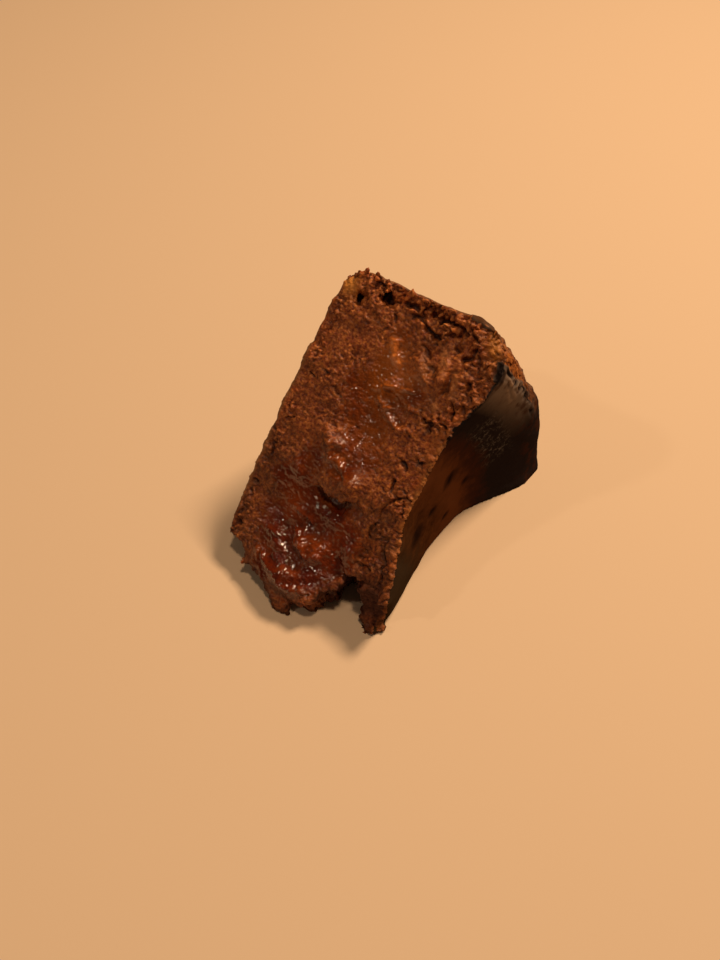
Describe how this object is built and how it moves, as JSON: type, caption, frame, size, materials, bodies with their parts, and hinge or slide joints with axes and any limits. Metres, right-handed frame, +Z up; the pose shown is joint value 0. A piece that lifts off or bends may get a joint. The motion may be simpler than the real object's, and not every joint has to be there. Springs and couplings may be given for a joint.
{
  "type": "slice of chocolate basque cheesecake",
  "caption": "Slice of chocolate Basque cheesecake lying on a cut face, with a burnt skin, a raised rim, a soft wet middle and a torn tip.",
  "frame": {"origin": "middle of the slice's box, on the surface that the slice lies on", "axes": "+Y from the torn tip to the cake's outer wall, +X from the cake's base to its burnt skin, +Z up"},
  "size_m": [0.0598, 0.1, 0.0775],
  "materials": {
    "cheesecake": "dark chocolate crumb, wet and glossy in the middle, with a burnt brown-black skin"
  },
  "bodies": {
    "root": {"cheesecake_slice": "cheesecake"}
  },
  "joints": []
}
